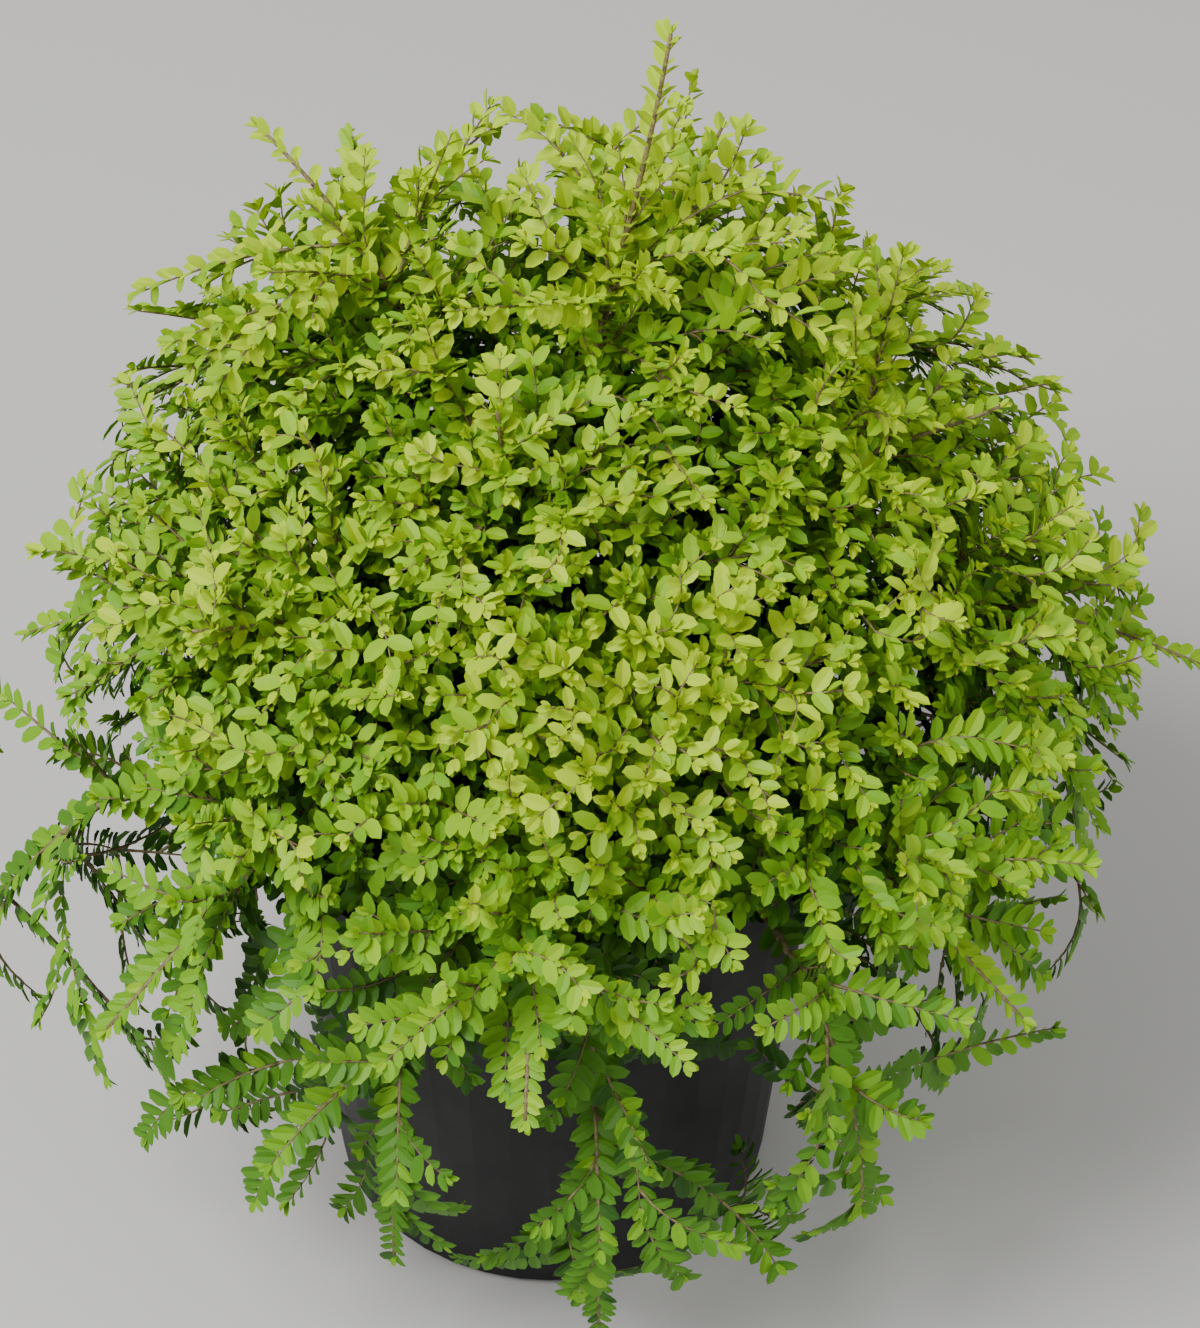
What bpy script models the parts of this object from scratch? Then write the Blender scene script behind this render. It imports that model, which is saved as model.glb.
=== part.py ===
"""Golden-leaved box honeysuckle in a round nursery pot.

A low spreading shrub: one short stem stands in the compost of a black plastic
pot and forks into tapering boughs. Each bough ends where it enters its own mass
of foliage, which goes on from the bough's tip as a stem with twigs and paired
leaves. Metres, +Z up. The origin is the middle of the pot's flat underside, and
the front of the shrub faces -Y.
"""

import math
import random
from collections import namedtuple

import bmesh
import bpy
import numpy as np
from mathutils import Matrix, Vector

SEED = 2107
CLEAR = 0.0003  # the gap between neighbouring solids

# Pot: a round nursery pot of about five litres
POT_HEIGHT = 0.200
POT_TOP_RADIUS = 0.1035
POT_BASE_RADIUS = 0.084
POT_WALL = 0.0016
POT_FLOOR = 0.0022
POT_FOOT_CHAMFER = 0.0030
BAND_HEIGHT = 0.013
BAND_PROUD = 0.0025
RIM_ROUND = 0.0010
POT_STEPS = 40
DRAIN_HOLES = 8
DRAIN_RADIUS = 0.0055
DRAIN_CIRCLE = 0.062
DRAIN_SIDES = 12

# Compost: fills the pot to a little under the rim, with a low mound at the stem
COMPOST_BELOW_RIM = 0.014
COMPOST_MOUND = 0.004
COMPOST_RINGS = 2

# Main stem, from its flat cut on the compost to its tip
STEM_FOOT_RADIUS = 0.0115
STEM_RADIUS = 0.0068
STEM_TIP_RADIUS = 0.0042
STEM_FLARE_HEIGHT = 0.009
STEM_TOP = 0.258
STEM_LEAN = 0.006
STEM_POINTS = 7
STEM_SIDES_LEVEL = 4

# Boughs leave the main stem in order of the height of their tips
FORK_LOW = 0.2035
FORK_HIGH = 0.251
FORK_SEAT = 0.88  # how much of a bough's radius its slanted foot keeps off the stem
BOUGH_POINTS = 6
TRAILING_CREST = 0.215
BOUGH_END_RADIUS = 0.0015

# Twigs and leaves
STEM_END_RADIUS = 0.0007
STEM_STEPS = 4
STEM_SQUARE = 0.003  # how far a mass's stem keeps the direction of its bough's tip
TWIG_RADIUS = 0.0012
TWIG_END_RADIUS = 0.0007
TWIG_TRIES = 120
TWIG_ENDS_APART = 0.0360
TWIG_LONGEST = 0.085
TWIG_SHORTEST = 0.022
TWIG_ROOT_SITES = 30
TWIG_FORWARD = 0.62  # where on its stem a twig starts, as a share of the way to its end
TWIG_STEM_CLEAR = 0.03  # the share of a run past its bough's tip that bears no twig
TWIG_TEST_SHARES = (0.25, 0.5, 0.75, 1.0)
OUTER_SHELL = (0.76, 0.97)
LEAF_LENGTH = 0.037
LEAF_WIDTH = 0.56
LEAF_THICKNESS = 0.05
LEAF_WIDEST = 0.44
LEAF_TIP_SHARE = 0.78
LEAF_ANGLE = math.radians(55)
LEAF_LIFT = math.radians(26)
LEAF_SIZES = (0.90, 1.08)
LEAF_TWIST = 0.25
LEAF_TEST_SHARES = (0.35, 0.55, 0.8, 1.0)
LEAF_TIP_SUNK = 0.0036
LEAF_SPACING = 0.0050
WOOD_SPACING = 0.0026
PAIR_SPACING = 0.0185
PAIR_SPREAD = (0.92, 1.10)
LAST_PAIR = 0.4  # the least room beyond a twig's last pair, in pair spacings
FIRST_PAIR = 0.014
LIMB_CLEARANCE = 0.0022
POT_CLEARANCE = 0.0035
GROUND_CLEARANCE = 0.020
SPACE_GAP = 0.0012
WOOD_SAMPLES = 12
SKYWARD = 0.6  # how far leaves turn up to the sky as well as out of the crown
SQUARE_LEAST = 0.05

# How a limb of each kind runs: the angle at which it leaves the main stem, the
# slope at its tip, how far each end's direction holds (as a share of the span),
# the share of the run that is bare bough, its radius at the fork, and the most
# twigs that its mass has
Habit = namedtuple("Habit", "rise slope root_hold tip_hold bare radius twigs")
HABITS = {
    "trailing": Habit(30, -88, 0.60, 0.70, 0.46, 0.0015, 5),
    "skirt": Habit(38, -28, 0.45, 0.40, 0.34, 0.0018, 10),
    "upper": Habit(66, 24, 0.45, 0.35, 0.36, 0.0019, 10),
    "top": Habit(84, 80, 0.40, 0.35, 0.36, 0.0023, 10),
}

# Every limb's furthest tip: kind, compass angle from +X, distance from the pot's
# axis, and height above the ground
Limb = namedtuple("Limb", "kind angle radius height")
LIMBS = {
    "front": Limb("skirt", 268, 0.185, 0.212),
    "front_left": Limb("skirt", 222, 0.205, 0.205),
    "left": Limb("skirt", 175, 0.190, 0.250),
    "back_left": Limb("skirt", 130, 0.200, 0.300),
    "back": Limb("skirt", 85, 0.190, 0.290),
    "back_right": Limb("skirt", 40, 0.208, 0.315),
    "right": Limb("skirt", 356, 0.240, 0.262),
    "front_right": Limb("skirt", 320, 0.215, 0.212),
    "upper_front": Limb("upper", 288, 0.125, 0.325),
    "upper_left": Limb("upper", 212, 0.140, 0.335),
    "upper_back_left": Limb("upper", 140, 0.130, 0.428),
    "upper_back": Limb("upper", 66, 0.155, 0.385),
    "upper_right": Limb("upper", 4, 0.158, 0.362),
    "middle": Limb("top", 250, 0.045, 0.405),
    "leader": Limb("top", 36, 0.052, 0.505),
    "trailing_front": Limb("trailing", 277, 0.150, 0.052),
    "trailing_front_left": Limb("trailing", 248, 0.150, 0.085),
    "trailing_front_right": Limb("trailing", 306, 0.190, 0.130),
    "trailing_left": Limb("trailing", 196, 0.215, 0.145),
    "trailing_back": Limb("trailing", 108, 0.175, 0.120),
    "trailing_right": Limb("trailing", 20, 0.200, 0.140),
}
HEART = Vector((0.012, 0.0, 0.245))  # the middle of the crown, for its outline
OUTLINE_FOCUS = 12.0
SPACE_MIDDLE = 0.70
LIMB_SAMPLES = 40

UP = Vector((0, 0, 1))
PAINTS = {
    "pot_plastic": ((0.012, 0.012, 0.013), 0.5),
    "compost": ((0.035, 0.022, 0.014), 0.95),
    "bark": ((0.16, 0.10, 0.06), 0.8),
    "gold_leaf": ((0.42, 0.50, 0.06), 0.5),
    "green_leaf": ((0.17, 0.33, 0.05), 0.5),
}


def clear_scene():
    for obj in list(bpy.data.objects):
        bpy.data.objects.remove(obj, do_unlink=True)


def paint(name):
    """The plain material of that name, made once."""
    found = bpy.data.materials.get(name)
    if found:
        return found
    colour, roughness = PAINTS[name]
    material = bpy.data.materials.new(name)
    material.use_nodes = True
    shader = material.node_tree.nodes["Principled BSDF"]
    shader.inputs["Base Color"].default_value = (*colour, 1)
    shader.inputs["Roughness"].default_value = roughness
    shader.inputs["Metallic"].default_value = 0.0
    material.diffuse_color = (*colour, 1)
    return material


def collection(name):
    made = bpy.data.collections.new(name)
    bpy.context.scene.collection.children.link(made)
    return made


def add(name, data, group, paint_name=None):
    made = bpy.data.objects.new(name, data)
    group.objects.link(made)
    if paint_name:
        data.materials.append(paint(paint_name))
    return made


def turned(name, outline, group, paint_name):
    """A solid of revolution from (radius, height) points that end on the axis."""
    data = bpy.data.meshes.new(name)
    points = [(radius, 0, height) for radius, height in outline]
    edges = [(i, i + 1) for i in range(len(points) - 1)]
    data.from_pydata(points, edges, [])
    made = add(name, data, group, paint_name)
    screw = made.modifiers.new("turned", "SCREW")
    screw.steps = POT_STEPS
    screw.render_steps = POT_STEPS
    screw.use_merge_vertices = True
    screw.merge_threshold = 0.00001
    screw.use_smooth_shade = True
    return made


def wall_radius(height):
    """The pot's outer radius at a height, without its band."""
    share = height / POT_HEIGHT
    return POT_BASE_RADIUS + (POT_TOP_RADIUS - POT_BASE_RADIUS) * share


def pot(group, cutters):
    band_low = POT_HEIGHT - BAND_HEIGHT
    band_radius = POT_TOP_RADIUS + BAND_PROUD
    outline = [
        (0, POT_FLOOR),
        (POT_BASE_RADIUS - POT_FOOT_CHAMFER - POT_WALL, POT_FLOOR),
        (wall_radius(POT_FOOT_CHAMFER) - POT_WALL, POT_FOOT_CHAMFER + POT_FLOOR),
        (POT_TOP_RADIUS - POT_WALL, POT_HEIGHT - RIM_ROUND),
        (POT_TOP_RADIUS - POT_WALL + RIM_ROUND, POT_HEIGHT),
        (band_radius - RIM_ROUND, POT_HEIGHT),
        (band_radius, POT_HEIGHT - RIM_ROUND),
        (band_radius - RIM_ROUND / 2, band_low),
        (wall_radius(band_low), band_low),
        (wall_radius(POT_FOOT_CHAMFER), POT_FOOT_CHAMFER),
        (POT_BASE_RADIUS - POT_FOOT_CHAMFER, 0),
        (0, 0),
    ]
    made = turned("pot", outline, group, "pot_plastic")
    shape = bmesh.new()
    for i in range(DRAIN_HOLES):
        turn = math.tau * (i + 0.5) / DRAIN_HOLES
        place = Matrix.Rotation(turn, 4, "Z") @ Matrix.Translation((DRAIN_CIRCLE, 0, 0))
        bmesh.ops.create_cone(
            shape,
            cap_ends=True,
            segments=DRAIN_SIDES,
            radius1=DRAIN_RADIUS,
            radius2=DRAIN_RADIUS,
            depth=POT_FLOOR * 4,
            matrix=place,
        )
    data = bpy.data.meshes.new("drain_hole_cutters")
    shape.to_mesh(data)
    shape.free()
    cutter = add("drain_hole_cutters", data, cutters)
    cutter.hide_render = True
    cutter.display_type = "WIRE"
    drains = made.modifiers.new("drains", "BOOLEAN")
    drains.operation = "DIFFERENCE"
    drains.object = cutter
    return made


def compost_height(radius):
    """The compost's surface: level at the wall, a little higher round the stem."""
    share = 1 - radius / POT_TOP_RADIUS
    return POT_HEIGHT - COMPOST_BELOW_RIM + COMPOST_MOUND * share * share


def compost(group):
    low = POT_FLOOR + CLEAR
    inset = POT_WALL + CLEAR
    edge = wall_radius(POT_HEIGHT - COMPOST_BELOW_RIM) - inset
    radii = [edge * i / COMPOST_RINGS for i in range(COMPOST_RINGS + 1)]
    flat = STEM_FOOT_RADIUS + CLEAR
    outline = [(0, compost_height(flat)), (flat, compost_height(flat))]
    outline += [(radius, compost_height(radius)) for radius in radii[1:]]
    outline += [
        (wall_radius(POT_FOOT_CHAMFER) - inset - CLEAR, POT_FOOT_CHAMFER + low),
        (POT_BASE_RADIUS - POT_FOOT_CHAMFER - inset - CLEAR, low),
        (0, low),
    ]
    return turned("compost", outline, group, "compost")


def limb_curve(name, points, radii, group, paint_name, level=0):
    """A tapering limb with closed ends, as a curve that carries a round bevel."""
    data = bpy.data.curves.new(name, "CURVE")
    data.dimensions = "3D"
    data.use_fill_caps = True
    data.bevel_depth = 1.0
    data.bevel_resolution = level
    spline = data.splines.new("POLY")
    spline.points.add(len(points) - 1)
    for knot, point, radius in zip(spline.points, points, radii):
        knot.co = (*point, 1)
        knot.radius = radius
    spline.use_smooth = True
    return add(name, data, group, paint_name)


def blend(a, b, share):
    return a + (b - a) * share


def stem_axis(height):
    """The main stem's axis: upright at its foot, then leaning a little back."""
    share = (height - STEM_FOOT) / (STEM_TOP - STEM_FOOT)
    lean = STEM_LEAN * share * share
    return Vector((lean / 2, lean, height))


def stem_radius(height):
    rise = height - STEM_FOOT
    share = rise / (STEM_TOP - STEM_FOOT)
    flare = max(0.0, 1 - rise / STEM_FLARE_HEIGHT)
    taper = STEM_RADIUS + (STEM_TIP_RADIUS - STEM_RADIUS) * share
    return taper + (STEM_FOOT_RADIUS - STEM_RADIUS) * flare * flare


STEM_FOOT = compost_height(STEM_FOOT_RADIUS + CLEAR) + CLEAR


def main_stem(group):
    heights = [STEM_FOOT, STEM_FOOT + STEM_FLARE_HEIGHT / 3, STEM_FOOT + STEM_FLARE_HEIGHT]
    rest = STEM_POINTS - len(heights)
    start = heights[-1]
    heights += [start + (STEM_TOP - start) * (i + 1) / rest for i in range(rest)]
    points = [stem_axis(height) for height in heights]
    radii = [stem_radius(height) for height in heights]
    return limb_curve("main_stem", points, radii, group, "bark", level=STEM_SIDES_LEVEL)


def bezier(a, b, c, d, t):
    s = 1 - t
    return a * s**3 + b * (3 * s * s * t) + c * (3 * s * t * t) + d * t**3


class Run:
    """A limb's whole run, from the main stem through its bough to its last tip."""

    def __init__(self, name, limb, fork):
        self.name = name
        self.kind = limb.kind
        habit = HABITS[limb.kind]
        self.bare = habit.bare
        self.most_twigs = habit.twigs
        self.root_radius = habit.radius
        turn = math.radians(limb.angle)
        rise = math.radians(habit.rise)
        slope = math.radians(habit.slope)
        outward = Vector((math.cos(turn), math.sin(turn), 0))
        leave = outward * math.cos(rise) + UP * math.sin(rise)
        arrive = outward * math.cos(slope) + UP * math.sin(slope)
        self.tip = outward * limb.radius + UP * limb.height
        if name == "leader":
            leave = UP
            self.start = stem_axis(STEM_TOP) + UP * CLEAR
        else:
            beside = stem_radius(fork) + habit.radius * math.sin(rise) * FORK_SEAT + CLEAR
            self.start = stem_axis(fork) + outward * beside
        span = (self.tip - self.start).length
        self.root_hold = self.start + leave * span * habit.root_hold
        self.tip_hold = self.tip - arrive * span * habit.tip_hold
        if limb.kind == "trailing":
            self.tip_hold = outward * limb.radius + UP * TRAILING_CREST
        self.middle = self.at(SPACE_MIDDLE)

    def at(self, t):
        return bezier(self.start, self.root_hold, self.tip_hold, self.tip, t)

    def radius(self, t):
        if t <= self.bare:
            return blend(self.root_radius, BOUGH_END_RADIUS, t / self.bare)
        return blend(BOUGH_END_RADIUS, STEM_END_RADIUS, (t - self.bare) / (1 - self.bare))

    def bough_steps(self):
        return [self.bare * i / (BOUGH_POINTS - 1) for i in range(BOUGH_POINTS)]


def plan_runs():
    """All limbs, with their forks spread evenly up the main stem, lowest tips first."""
    order = sorted(LIMBS, key=lambda name: LIMBS[name].height)
    step = (FORK_HIGH - FORK_LOW) / (len(order) - 1)
    forks = {name: FORK_LOW + i * step for i, name in enumerate(order)}
    return [Run(name, limb, forks[name]) for name, limb in LIMBS.items()]


def bough(run, group):
    points = [run.at(t) for t in run.bough_steps()]
    radii = [run.radius(t) for t in run.bough_steps()]
    return limb_curve("bough_" + run.name, points, radii, group, "bark", level=1)


def foliage_stem(run):
    """The path and radii of a mass's stem, square on to the flat tip of its bough."""
    before, last = [run.at(t) for t in run.bough_steps()[-2:]]
    ahead = (last - before).normalized()
    steps = [blend(run.bare, 1, i / STEM_STEPS) for i in range(STEM_STEPS + 1)]
    path = [last + ahead * CLEAR, last + ahead * STEM_SQUARE]
    path += [run.at(t) for t in steps[1:]]
    radii = [run.radius(run.bare)] + [run.radius(t) for t in steps]
    return path, radii


class Space:
    """The room that one mass keeps to: the points that lie nearer to its middle
    than to any other mass's, inside the crown's outline and clear of the limbs."""

    def __init__(self, run, runs):
        others = [other.middle for other in runs if other is not run]
        self.walls = np.array([(other - run.middle).normalized() for other in others])
        halfway = np.array([(other + run.middle) / 2 for other in others])
        self.limits = (self.walls * halfway).sum(axis=1) - SPACE_GAP / 2
        tips = [other.tip - HEART for other in runs]
        self.tip_ways = np.array([tip.normalized() for tip in tips])
        self.tip_reach = np.array([tip.length for tip in tips])
        heights = [blend(STEM_FOOT, STEM_TOP, i / LIMB_SAMPLES) for i in range(LIMB_SAMPLES)]
        limbs = [(*stem_axis(height), stem_radius(height)) for height in heights]
        for other in runs:
            steps = [other.bare * i / LIMB_SAMPLES for i in range(LIMB_SAMPLES + 1)]
            limbs += [(*other.at(t), other.radius(t)) for t in steps]
        limbs = np.array(limbs)
        self.limb_points = limbs[:, :3]
        self.limb_radii = limbs[:, 3]

    def outline(self, point):
        """How far out of the crown's heart a point lies, as a share of the reach of
        the tips that lie its way."""
        way = point - HEART
        near = np.exp(OUTLINE_FOCUS * (self.tip_ways @ np.array(way.normalized()) - 1))
        return way.length / ((near * self.tip_reach).sum() / near.sum())

    def holds(self, points, radius=0.0):
        """True where all the points lie in the space, clear of limbs and the pot."""
        sites = np.array(points)
        if (sites @ self.walls.T > self.limits - radius).any():
            return False
        from_axis = np.hypot(sites[:, 0], sites[:, 1])
        low = sites[:, 2] < POT_HEIGHT + POT_CLEARANCE
        if (low & (from_axis < POT_TOP_RADIUS + BAND_PROUD + POT_CLEARANCE)).any():
            return False
        if (sites[:, 2] < GROUND_CLEARANCE).any():
            return False
        gaps = np.linalg.norm(sites[:, None] - self.limb_points[None], axis=2)
        return not (gaps < self.limb_radii + radius + LIMB_CLEARANCE).any()


def light_on(point):
    """The way that a leaf at a point of the crown turns its upper side."""
    return ((point - HEART).normalized() + UP * SKYWARD).normalized()


def plan_twigs(run, space, ends, dice):
    """The root and end of each twig of a mass. The ends are spread evenly through
    the crown's outer shell, each kept apart from the ends before it."""
    twigs = []
    sites = TWIG_ROOT_SITES
    along = [blend(run.bare, 1, i / sites) for i in range(sites)]
    ends.append(run.tip)
    while len(twigs) < run.most_twigs:
        best = None
        for _ in range(TWIG_TRIES):
            end = run.middle + Vector([dice.uniform(-1, 1) for _ in range(3)]) * TWIG_LONGEST
            if not OUTER_SHELL[0] < space.outline(end) < OUTER_SHELL[1]:
                continue
            gap = min((end - other).length for other in ends)
            if gap < TWIG_ENDS_APART or (best and gap < best[0]):
                continue
            nearest = min(along, key=lambda t: (run.at(t) - end).length)
            root = run.at(blend(run.bare + TWIG_STEM_CLEAR, nearest, TWIG_FORWARD))
            path = [root.lerp(end, share) for share in TWIG_TEST_SHARES]
            length = (end - root).length
            if TWIG_SHORTEST < length < TWIG_LONGEST and space.holds(path, TWIG_RADIUS):
                best = (gap, root, end)
        if not best:
            break
        ends.append(best[2])
        twigs.append(best[1:])
    return twigs


def twig_piece(name, root, end, group):
    """A straight three-sided twig, with an edge up and a flat side to each leaf."""
    along = (end - root).normalized()
    up = upright(light_on(end), along)
    frame = Matrix((up.cross(along), up, along)).transposed().to_4x4()
    shape = bmesh.new()
    bmesh.ops.create_cone(
        shape,
        cap_ends=True,
        segments=3,
        radius1=TWIG_RADIUS,
        radius2=TWIG_END_RADIUS,
        depth=(end - root).length,
        matrix=Matrix.Translation((root + end) / 2) @ frame,
    )
    data = bpy.data.meshes.new(name)
    shape.to_mesh(data)
    shape.free()
    return add(name, data, group)


def leaf_blade():
    """One leaf, a unit long: a thin blade with four corners, flat below and with a
    low ridge above, widest before its middle."""
    shape = bmesh.new()
    bmesh.ops.create_cone(shape, cap_ends=True, segments=4, radius1=1, radius2=0, depth=1)
    for corner in shape.verts:
        x, y, z = corner.co
        along = LEAF_WIDEST + (x * (1 - LEAF_WIDEST) if x > 0 else x * LEAF_WIDEST)
        corner.co = (along, y * LEAF_WIDTH / 2, (z + 0.5) * LEAF_THICKNESS)
    data = bpy.data.meshes.new("leaf_blade")
    shape.to_mesh(data)
    shape.free()
    return data


def upright(way, axis):
    """The part of a direction that is square to an axis, as a unit vector."""
    square = way - axis * way.dot(axis)
    if square.length < SQUARE_LEAST:
        square = axis.orthogonal()
    return square.normalized()


def leaf_place(root, out, face, size):
    """The placement of a leaf with its root, direction, upper side and length."""
    frame = Matrix((out, face.cross(out), face)).transposed().to_4x4()
    return Matrix.Translation(root) @ frame @ Matrix.Scale(size, 4)


def leaf_samples(place):
    """Points spread over a placed leaf, to test the room that it takes."""
    samples = []
    for along in LEAF_TEST_SHARES:
        half = LEAF_WIDTH / 2 * min(along / LEAF_WIDEST, (1 - along) / (1 - LEAF_WIDEST))
        samples += [place @ Vector((along, side * half, 0)) for side in (-1, 0, 1)]
    return samples


def apart(points, others, gap):
    """True where no point lies within the gap of any of the others."""
    if not others:
        return True
    gaps = np.linalg.norm(np.array(points)[:, None] - np.array(others)[None], axis=2)
    return gaps.min() >= gap


def leaf_sites(path, dice):
    """Root, direction, upper side and length of each leaf that a twig or stem may
    bear: opposite pairs along it and one leaf at its tip."""
    spans = [(b - a).length for a, b in zip(path, path[1:])]
    total = sum(spans)
    sites = []
    gone = FIRST_PAIR
    while gone < total - PAIR_SPACING * LAST_PAIR:
        i = 0
        before = 0.0
        while before + spans[i] < gone:
            before += spans[i]
            i += 1
        along = (path[i + 1] - path[i]).normalized()
        site = path[i] + along * (gone - before)
        up = upright(light_on(site), along)
        side = along.cross(up)
        size = LEAF_LENGTH * blend(1, LEAF_TIP_SHARE, gone / total) * dice.uniform(*LEAF_SIZES)
        for sign in (1, -1):
            away = side * (sign * math.cos(LEAF_LIFT)) + up * math.sin(LEAF_LIFT)
            out = along * math.cos(LEAF_ANGLE) + away * math.sin(LEAF_ANGLE)
            face = upright(up + side * dice.uniform(-LEAF_TWIST, LEAF_TWIST), out)
            sites.append((site, out, face, size))
        gone += PAIR_SPACING * dice.uniform(*PAIR_SPREAD)
    along = (path[-1] - path[-2]).normalized()
    root = path[-1] - along * LEAF_TIP_SUNK
    sites.append((root, along, upright(light_on(root), along), LEAF_LENGTH * LEAF_TIP_SHARE))
    return sites


def as_mesh(obj, group):
    """The curve object as a mesh object with its end caps welded on."""
    graph = bpy.context.evaluated_depsgraph_get()
    data = bpy.data.meshes.new_from_object(obj.evaluated_get(graph), depsgraph=graph)
    shape = bmesh.new()
    shape.from_mesh(data)
    bmesh.ops.remove_doubles(shape, verts=shape.verts, dist=0.000001)
    shape.to_mesh(data)
    shape.free()
    name = obj.name
    place = obj.matrix_world.copy()
    bpy.data.objects.remove(obj, do_unlink=True)
    made = add(name, data, group)
    made.matrix_world = place
    return made


def drop_scraps(data):
    """Keeps only the largest connected piece of a mesh."""
    shape = bmesh.new()
    shape.from_mesh(data)
    left = set(shape.verts)
    pieces = []
    while left:
        wave = {left.pop()}
        piece = set(wave)
        while wave:
            wave = {edge.other_vert(v) for v in wave for edge in v.link_edges} - piece
            piece |= wave
        left -= piece
        pieces.append(piece)
    keep = max(pieces, key=len)
    scraps = [v for v in shape.verts if v not in keep]
    bmesh.ops.delete(shape, geom=scraps, context="VERTS")
    shape.to_mesh(data)
    shape.free()


def joined(name, stem, pieces, group, paint_name):
    """The stem and all the pieces of a collection as one closed solid."""
    union = stem.modifiers.new("joined", "BOOLEAN")
    union.operation = "UNION"
    union.operand_type = "COLLECTION"
    union.collection = pieces
    graph = bpy.context.evaluated_depsgraph_get()
    data = bpy.data.meshes.new_from_object(stem.evaluated_get(graph), depsgraph=graph)
    bpy.data.objects.remove(stem, do_unlink=True)
    for piece in list(pieces.objects):
        bpy.data.objects.remove(piece, do_unlink=True)
    bpy.data.collections.remove(pieces)
    drop_scraps(data)
    data.materials.clear()
    return add(name, data, group, paint_name)


def foliage(run, runs, ends, leaf, group):
    """One mass: a stem on from the bough's tip, its twigs and their leaves."""
    dice = random.Random(f"{SEED} {run.name}")
    space = Space(run, runs)
    name = "foliage_" + run.name
    pieces = collection("pieces_" + run.name)
    path, radii = foliage_stem(run)
    stem = as_mesh(limb_curve("stem_" + run.name, path, radii, group, None), group)
    limbs = [path] + [[root, end] for root, end in plan_twigs(run, space, ends, dice)]
    wood = []
    for limb in limbs:
        shares = [i / WOOD_SAMPLES for i in range(WOOD_SAMPLES + 1)]
        spans = zip(limb, limb[1:])
        wood.append([a.lerp(b, share) for a, b in spans for share in shares])
    taken = []
    for i, limb in enumerate(limbs):
        if i:
            twig_piece(f"twig_{i}", limb[0], limb[1], pieces)
        other_wood = [point for k, points in enumerate(wood) if k != i for point in points]
        for site in leaf_sites(limb, dice):
            place = leaf_place(*site)
            samples = leaf_samples(place)
            if not space.holds(samples) or not apart(samples, taken, LEAF_SPACING):
                continue
            if apart(samples, other_wood, WOOD_SPACING):
                taken += samples
                add("leaf", leaf, pieces).matrix_world = place
    paint_name = "green_leaf" if run.kind == "trailing" else "gold_leaf"
    return joined(name, stem, pieces, group, paint_name)


def main():
    clear_scene()
    plant = collection("golden_box_honeysuckle")
    cutters = collection("cutters")
    pot(plant, cutters)
    compost(plant)
    main_stem(plant)
    runs = plan_runs()
    leaf = leaf_blade()
    ends = []
    for run in runs:
        bough(run, plant)
    for run in runs:
        foliage(run, runs, ends, leaf, plant)


main()
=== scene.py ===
"""Golden-leaved box honeysuckle in a round nursery pot, dressed for its render.

The limbs, the spaces of the masses and their first twigs follow the same rule as
the solids, but here the boughs start inside the main stem. From there the twigs
branch on, finer, within the same reach, and bear leaves close to their real size.
Metres, +Z up. The front of the shrub faces -Y.
"""

import math
import random
from collections import namedtuple

import bpy
import numpy as np
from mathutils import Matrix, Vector, noise


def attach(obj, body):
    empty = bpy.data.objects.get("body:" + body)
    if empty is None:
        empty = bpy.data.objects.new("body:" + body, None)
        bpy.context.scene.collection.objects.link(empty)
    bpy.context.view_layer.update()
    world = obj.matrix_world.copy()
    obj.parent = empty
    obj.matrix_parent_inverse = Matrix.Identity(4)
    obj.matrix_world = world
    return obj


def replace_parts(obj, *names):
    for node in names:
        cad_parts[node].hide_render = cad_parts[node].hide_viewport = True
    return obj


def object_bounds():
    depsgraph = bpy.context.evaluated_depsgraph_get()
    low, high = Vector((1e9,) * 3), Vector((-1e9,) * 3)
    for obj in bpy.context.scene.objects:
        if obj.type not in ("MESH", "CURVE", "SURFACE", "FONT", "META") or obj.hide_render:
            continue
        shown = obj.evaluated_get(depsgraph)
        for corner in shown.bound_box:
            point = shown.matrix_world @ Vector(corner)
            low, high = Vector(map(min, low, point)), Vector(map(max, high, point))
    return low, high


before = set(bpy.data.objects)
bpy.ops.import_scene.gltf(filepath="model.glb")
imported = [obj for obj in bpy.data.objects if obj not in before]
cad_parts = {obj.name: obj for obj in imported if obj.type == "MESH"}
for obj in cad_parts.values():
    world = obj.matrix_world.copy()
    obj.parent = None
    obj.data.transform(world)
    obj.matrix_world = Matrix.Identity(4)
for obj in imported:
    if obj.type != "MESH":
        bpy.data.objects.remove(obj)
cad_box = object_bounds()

UP = Vector((0, 0, 1))
SEED = 2107
CLEAR = 0.0003  # the gap between neighbouring solids

# Pot and compost, as in the solids
POT_HEIGHT = 0.200
POT_TOP_RADIUS = 0.1035
POT_BASE_RADIUS = 0.084
POT_WALL = 0.0016
BAND_PROUD = 0.0025
COMPOST_BELOW_RIM = 0.014
COMPOST_MOUND = 0.004

# Main stem and boughs, as in the solids: the boughs leave in order of their tips' height
STEM_FOOT_RADIUS = 0.0115
STEM_RADIUS = 0.0068
STEM_TIP_RADIUS = 0.0042
STEM_FLARE_HEIGHT = 0.009
STEM_TOP = 0.258
STEM_LEAN = 0.006
FORK_LOW = 0.2035
FORK_HIGH = 0.251
FORK_DEPTH = 0.5  # a bough starts at this share of the stem's radius, inside it
TRAILING_CREST = 0.215  # the height that a trailing limb is drawn over the rim to
BOUGH_END_RADIUS = 0.0015
STEM_END_RADIUS = 0.0007

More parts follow.
